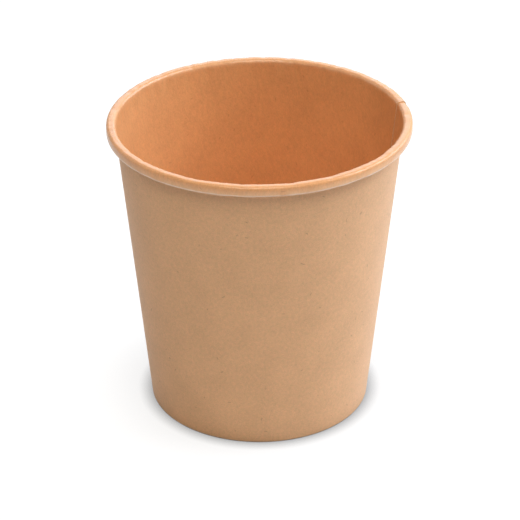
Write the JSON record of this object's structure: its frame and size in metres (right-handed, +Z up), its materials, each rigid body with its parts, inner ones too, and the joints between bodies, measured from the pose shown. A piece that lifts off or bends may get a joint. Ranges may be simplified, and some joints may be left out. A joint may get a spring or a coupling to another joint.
{
  "type": "paper cup",
  "caption": "Tapered kraft paper food cup, empty and open at the top, with a rolled rim, a lapped side seam and a recessed bottom.",
  "frame": {"origin": "centre of the footprint, on the surface that the folded foot stands on", "axes": "+Z up along the cup's axis, out of the mouth; +X towards the side seam, which stands 14 degrees from it"},
  "size_m": [0.098, 0.098, 0.1002],
  "materials": {
    "kraft_board": "matte",
    "bottom_board": "satin"
  },
  "bodies": {
    "root": {"sidewall": "kraft_board", "bottom_disc": "bottom_board"}
  },
  "joints": []
}
